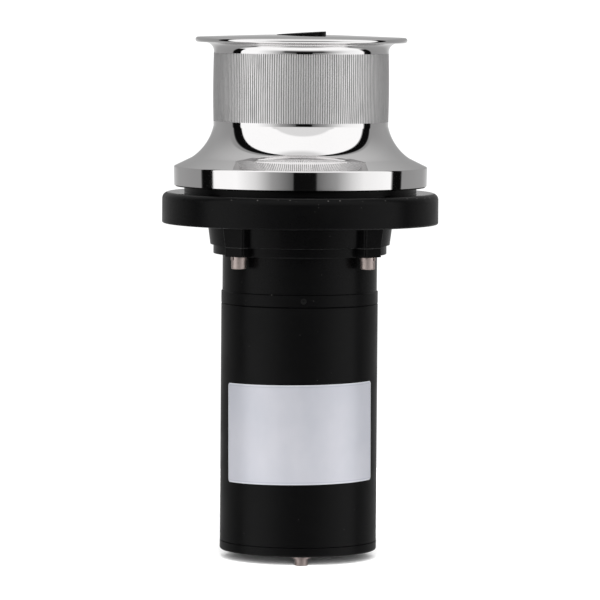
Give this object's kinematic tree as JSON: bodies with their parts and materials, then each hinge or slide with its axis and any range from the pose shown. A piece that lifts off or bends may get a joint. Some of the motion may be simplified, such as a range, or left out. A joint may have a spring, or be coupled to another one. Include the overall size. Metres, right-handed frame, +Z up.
{
  "type": "deck capstan",
  "caption": "Vertical electric deck capstan: polished flared drum on a round base disc, with a planetary gearbox and DC motor below deck.",
  "frame": {"origin": "centre of the deck face, the flat underside of the base disc, on the drum's axis", "axes": "+Z up along the drum's axis, away from the deck; -Y towards the front of the motor, opposite the terminals"},
  "size_m": [0.1868, 0.1868, 0.357],
  "materials": {
    "polished_stainless": "mirror polished stainless steel",
    "black_casting": "satin black coated aluminium casting",
    "black_motor": "satin black painted steel",
    "black_plastic": "matte black moulded plastic",
    "stainless_fastener": "satin stainless steel",
    "shaft_steel": "ground steel",
    "gear_steel": "oiled gear steel",
    "bearing_steel": "polished bearing steel",
    "bronze": "plain bronze",
    "seal_rubber": "black nitrile rubber",
    "gasket_fibre": "black fibre gasket",
    "lamination_steel": "stacked electrical steel",
    "copper": "enamelled copper",
    "ferrite": "dull ferrite",
    "carbon": "pressed carbon",
    "insulation": "brown phenolic board",
    "brass_terminal": "plain brass"
  },
  "bodies": {
    "housing": {"deck_flange": "black_casting", "upper_bearing": "bearing_steel", "lower_bearing": "bearing_steel", "bearing_circlip": "shaft_steel", "shaft_seal": "seal_rubber", "housing_gasket": "gasket_fibre", "gearbox_barrel": "black_casting", "ring_gear": "gear_steel", "housing_screws": "stainless_fastener", "spring_washers": "stainless_fastener", "motor_front_plate": "black_casting", "ring_screws": "shaft_steel", "motor_oil_seal": "seal_rubber", "front_motor_bearing": "bearing_steel", "rear_motor_bearing": "bearing_steel", "motor_barrel": "black_motor", "motor_end_cap": "black_casting", "through_bolts": "stainless_fastener", "through_bolt_washers": "stainless_fastener", "magnets": "ferrite", "brush_plate": "insulation", "brush_holders": "brass_terminal", "brushes": "carbon", "brush_springs": "shaft_steel", "terminal_studs": "brass_terminal", "terminal_bushes": "black_plastic", "terminal_washers": "brass_terminal", "terminal_nuts": "brass_terminal"},
    "drum": {"drum": "polished_stainless", "drum_bolt": "stainless_fastener", "drum_washer": "stainless_fastener", "drum_key": "shaft_steel", "main_shaft": "shaft_steel", "output_pins": "shaft_steel", "output_clips": "shaft_steel", "output_thrust_washer": "bronze", "bearing_spacer": "shaft_steel"},
    "cap": {"drum_cap": "black_plastic"},
    "first_carrier": {"first_carrier": "gear_steel", "first_pins": "shaft_steel", "first_clips": "shaft_steel", "first_thrust_washer": "bronze"},
    "armature": {"motor_shaft": "shaft_steel", "armature_core": "lamination_steel", "armature_windings": "copper", "commutator": "copper"},
    "output_planet_1": {"output_planet_1": "gear_steel"},
    "first_planet_1": {"first_planet_1": "gear_steel"},
    "output_planet_2": {"output_planet_2": "gear_steel"},
    "first_planet_2": {"first_planet_2": "gear_steel"},
    "output_planet_3": {"output_planet_3": "gear_steel"},
    "first_planet_3": {"first_planet_3": "gear_steel"}
  },
  "joints": [
    {"name": "drum_spin", "type": "hinge", "parent": "housing", "child": "drum", "pos_m": [0, 0, 0], "axis": [0, 0, 1], "continuous": true},
    {"name": "first_carrier_spin", "type": "hinge", "parent": "housing", "child": "first_carrier", "pos_m": [0, 0, 0], "axis": [0, 0, 1], "continuous": true},
    {"name": "armature_spin", "type": "hinge", "parent": "housing", "child": "armature", "pos_m": [0, 0, 0], "axis": [0, 0, 1], "continuous": true},
    {"name": "cap_lift", "type": "slide", "parent": "drum", "child": "cap", "axis": [0, 0, 1], "range_m": [0, 0.02]},
    {"name": "output_planet_1_spin", "type": "hinge", "parent": "drum", "child": "output_planet_1", "pos_m": [0.02625, 0, -0.0204], "axis": [0, 0, 1], "continuous": true},
    {"name": "first_planet_1_spin", "type": "hinge", "parent": "first_carrier", "child": "first_planet_1", "pos_m": [0.02625, 0, -0.0393], "axis": [0, 0, 1], "continuous": true},
    {"name": "output_planet_2_spin", "type": "hinge", "parent": "drum", "child": "output_planet_2", "pos_m": [-0.01312, 0.02273, -0.0204], "axis": [0, 0, 1], "continuous": true},
    {"name": "first_planet_2_spin", "type": "hinge", "parent": "first_carrier", "child": "first_planet_2", "pos_m": [-0.01312, 0.02273, -0.0393], "axis": [0, 0, 1], "continuous": true},
    {"name": "output_planet_3_spin", "type": "hinge", "parent": "drum", "child": "output_planet_3", "pos_m": [-0.01312, -0.02273, -0.0204], "axis": [0, 0, 1], "continuous": true},
    {"name": "first_planet_3_spin", "type": "hinge", "parent": "first_carrier", "child": "first_planet_3", "pos_m": [-0.01312, -0.02273, -0.0393], "axis": [0, 0, 1], "continuous": true}
  ],
  "couplings": [
    {"joint": "first_carrier_spin", "follows": "drum_spin", "ratio": 5},
    {"joint": "armature_spin", "follows": "drum_spin", "ratio": 25},
    {"joint": "output_planet_1_spin", "follows": "drum_spin", "ratio": -2.6667},
    {"joint": "first_planet_1_spin", "follows": "drum_spin", "ratio": -13.333},
    {"joint": "output_planet_2_spin", "follows": "drum_spin", "ratio": -2.6667},
    {"joint": "first_planet_2_spin", "follows": "drum_spin", "ratio": -13.333},
    {"joint": "output_planet_3_spin", "follows": "drum_spin", "ratio": -2.6667},
    {"joint": "first_planet_3_spin", "follows": "drum_spin", "ratio": -13.333}
  ]
}
